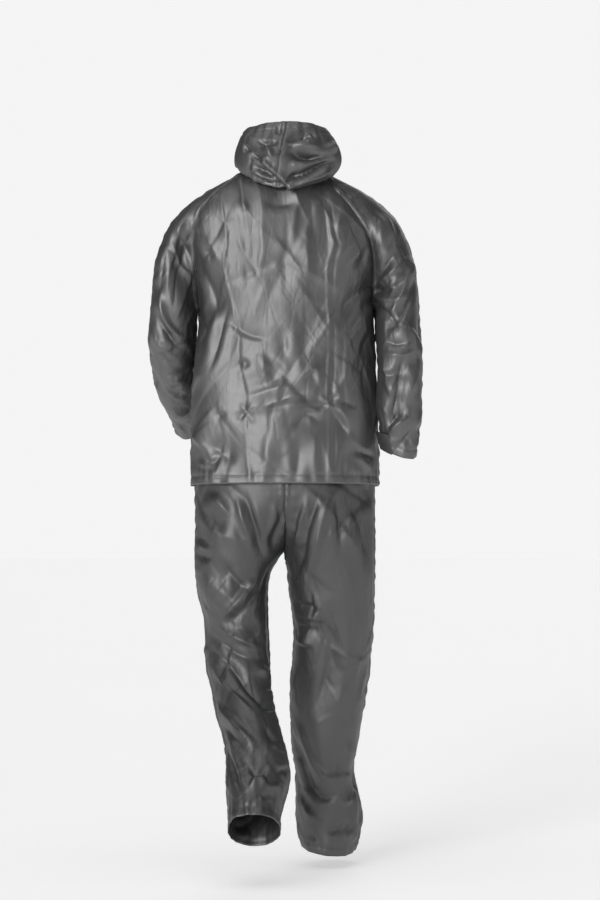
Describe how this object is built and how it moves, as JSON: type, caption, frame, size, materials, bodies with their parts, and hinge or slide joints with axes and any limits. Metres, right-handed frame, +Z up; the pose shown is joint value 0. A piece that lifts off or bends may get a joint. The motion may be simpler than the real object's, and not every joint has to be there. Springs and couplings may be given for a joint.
{
  "type": "rain suit",
  "caption": "Hooded raglan rain jacket, hood down and zip closed, over loose pull-on trousers, hollow and in the shape it has when worn in mid stride.",
  "frame": {"origin": "middle of the neck opening, level with the neck seam at the nape, where the suit hangs from its wearer", "axes": "+Z up, +X to the wearer's left, -Y to the front of the suit"},
  "size_m": [0.603, 0.567, 1.6167],
  "materials": {
    "shell": "satin",
    "zip_tape": "matt",
    "zip_metal": "satin"
  },
  "bodies": {
    "suit": {"jacket_back": "shell", "jacket_front_left": "shell", "jacket_front_right": "shell", "sleeve_left_back": "shell", "sleeve_left_front": "shell", "sleeve_right_back": "shell", "sleeve_right_front": "shell", "hood_left": "shell", "hood_right": "shell", "cuff_tab_left": "shell", "cuff_tab_right": "shell", "trouser_left_back": "shell", "trouser_left_front": "shell", "trouser_right_back": "shell", "trouser_right_front": "shell", "waistband": "shell", "zip_tape_left": "zip_tape", "zip_tape_right": "zip_tape", "zip_slider": "zip_metal"},
    "pull": {"zip_pull": "zip_metal"}
  },
  "joints": [
    {"name": "zip_pull_swing", "type": "hinge", "parent": "suit", "child": "pull", "pos_m": [0, -0.08999, -0.01983], "axis": [-1, 0, 0], "range_deg": [-4, 150]}
  ]
}
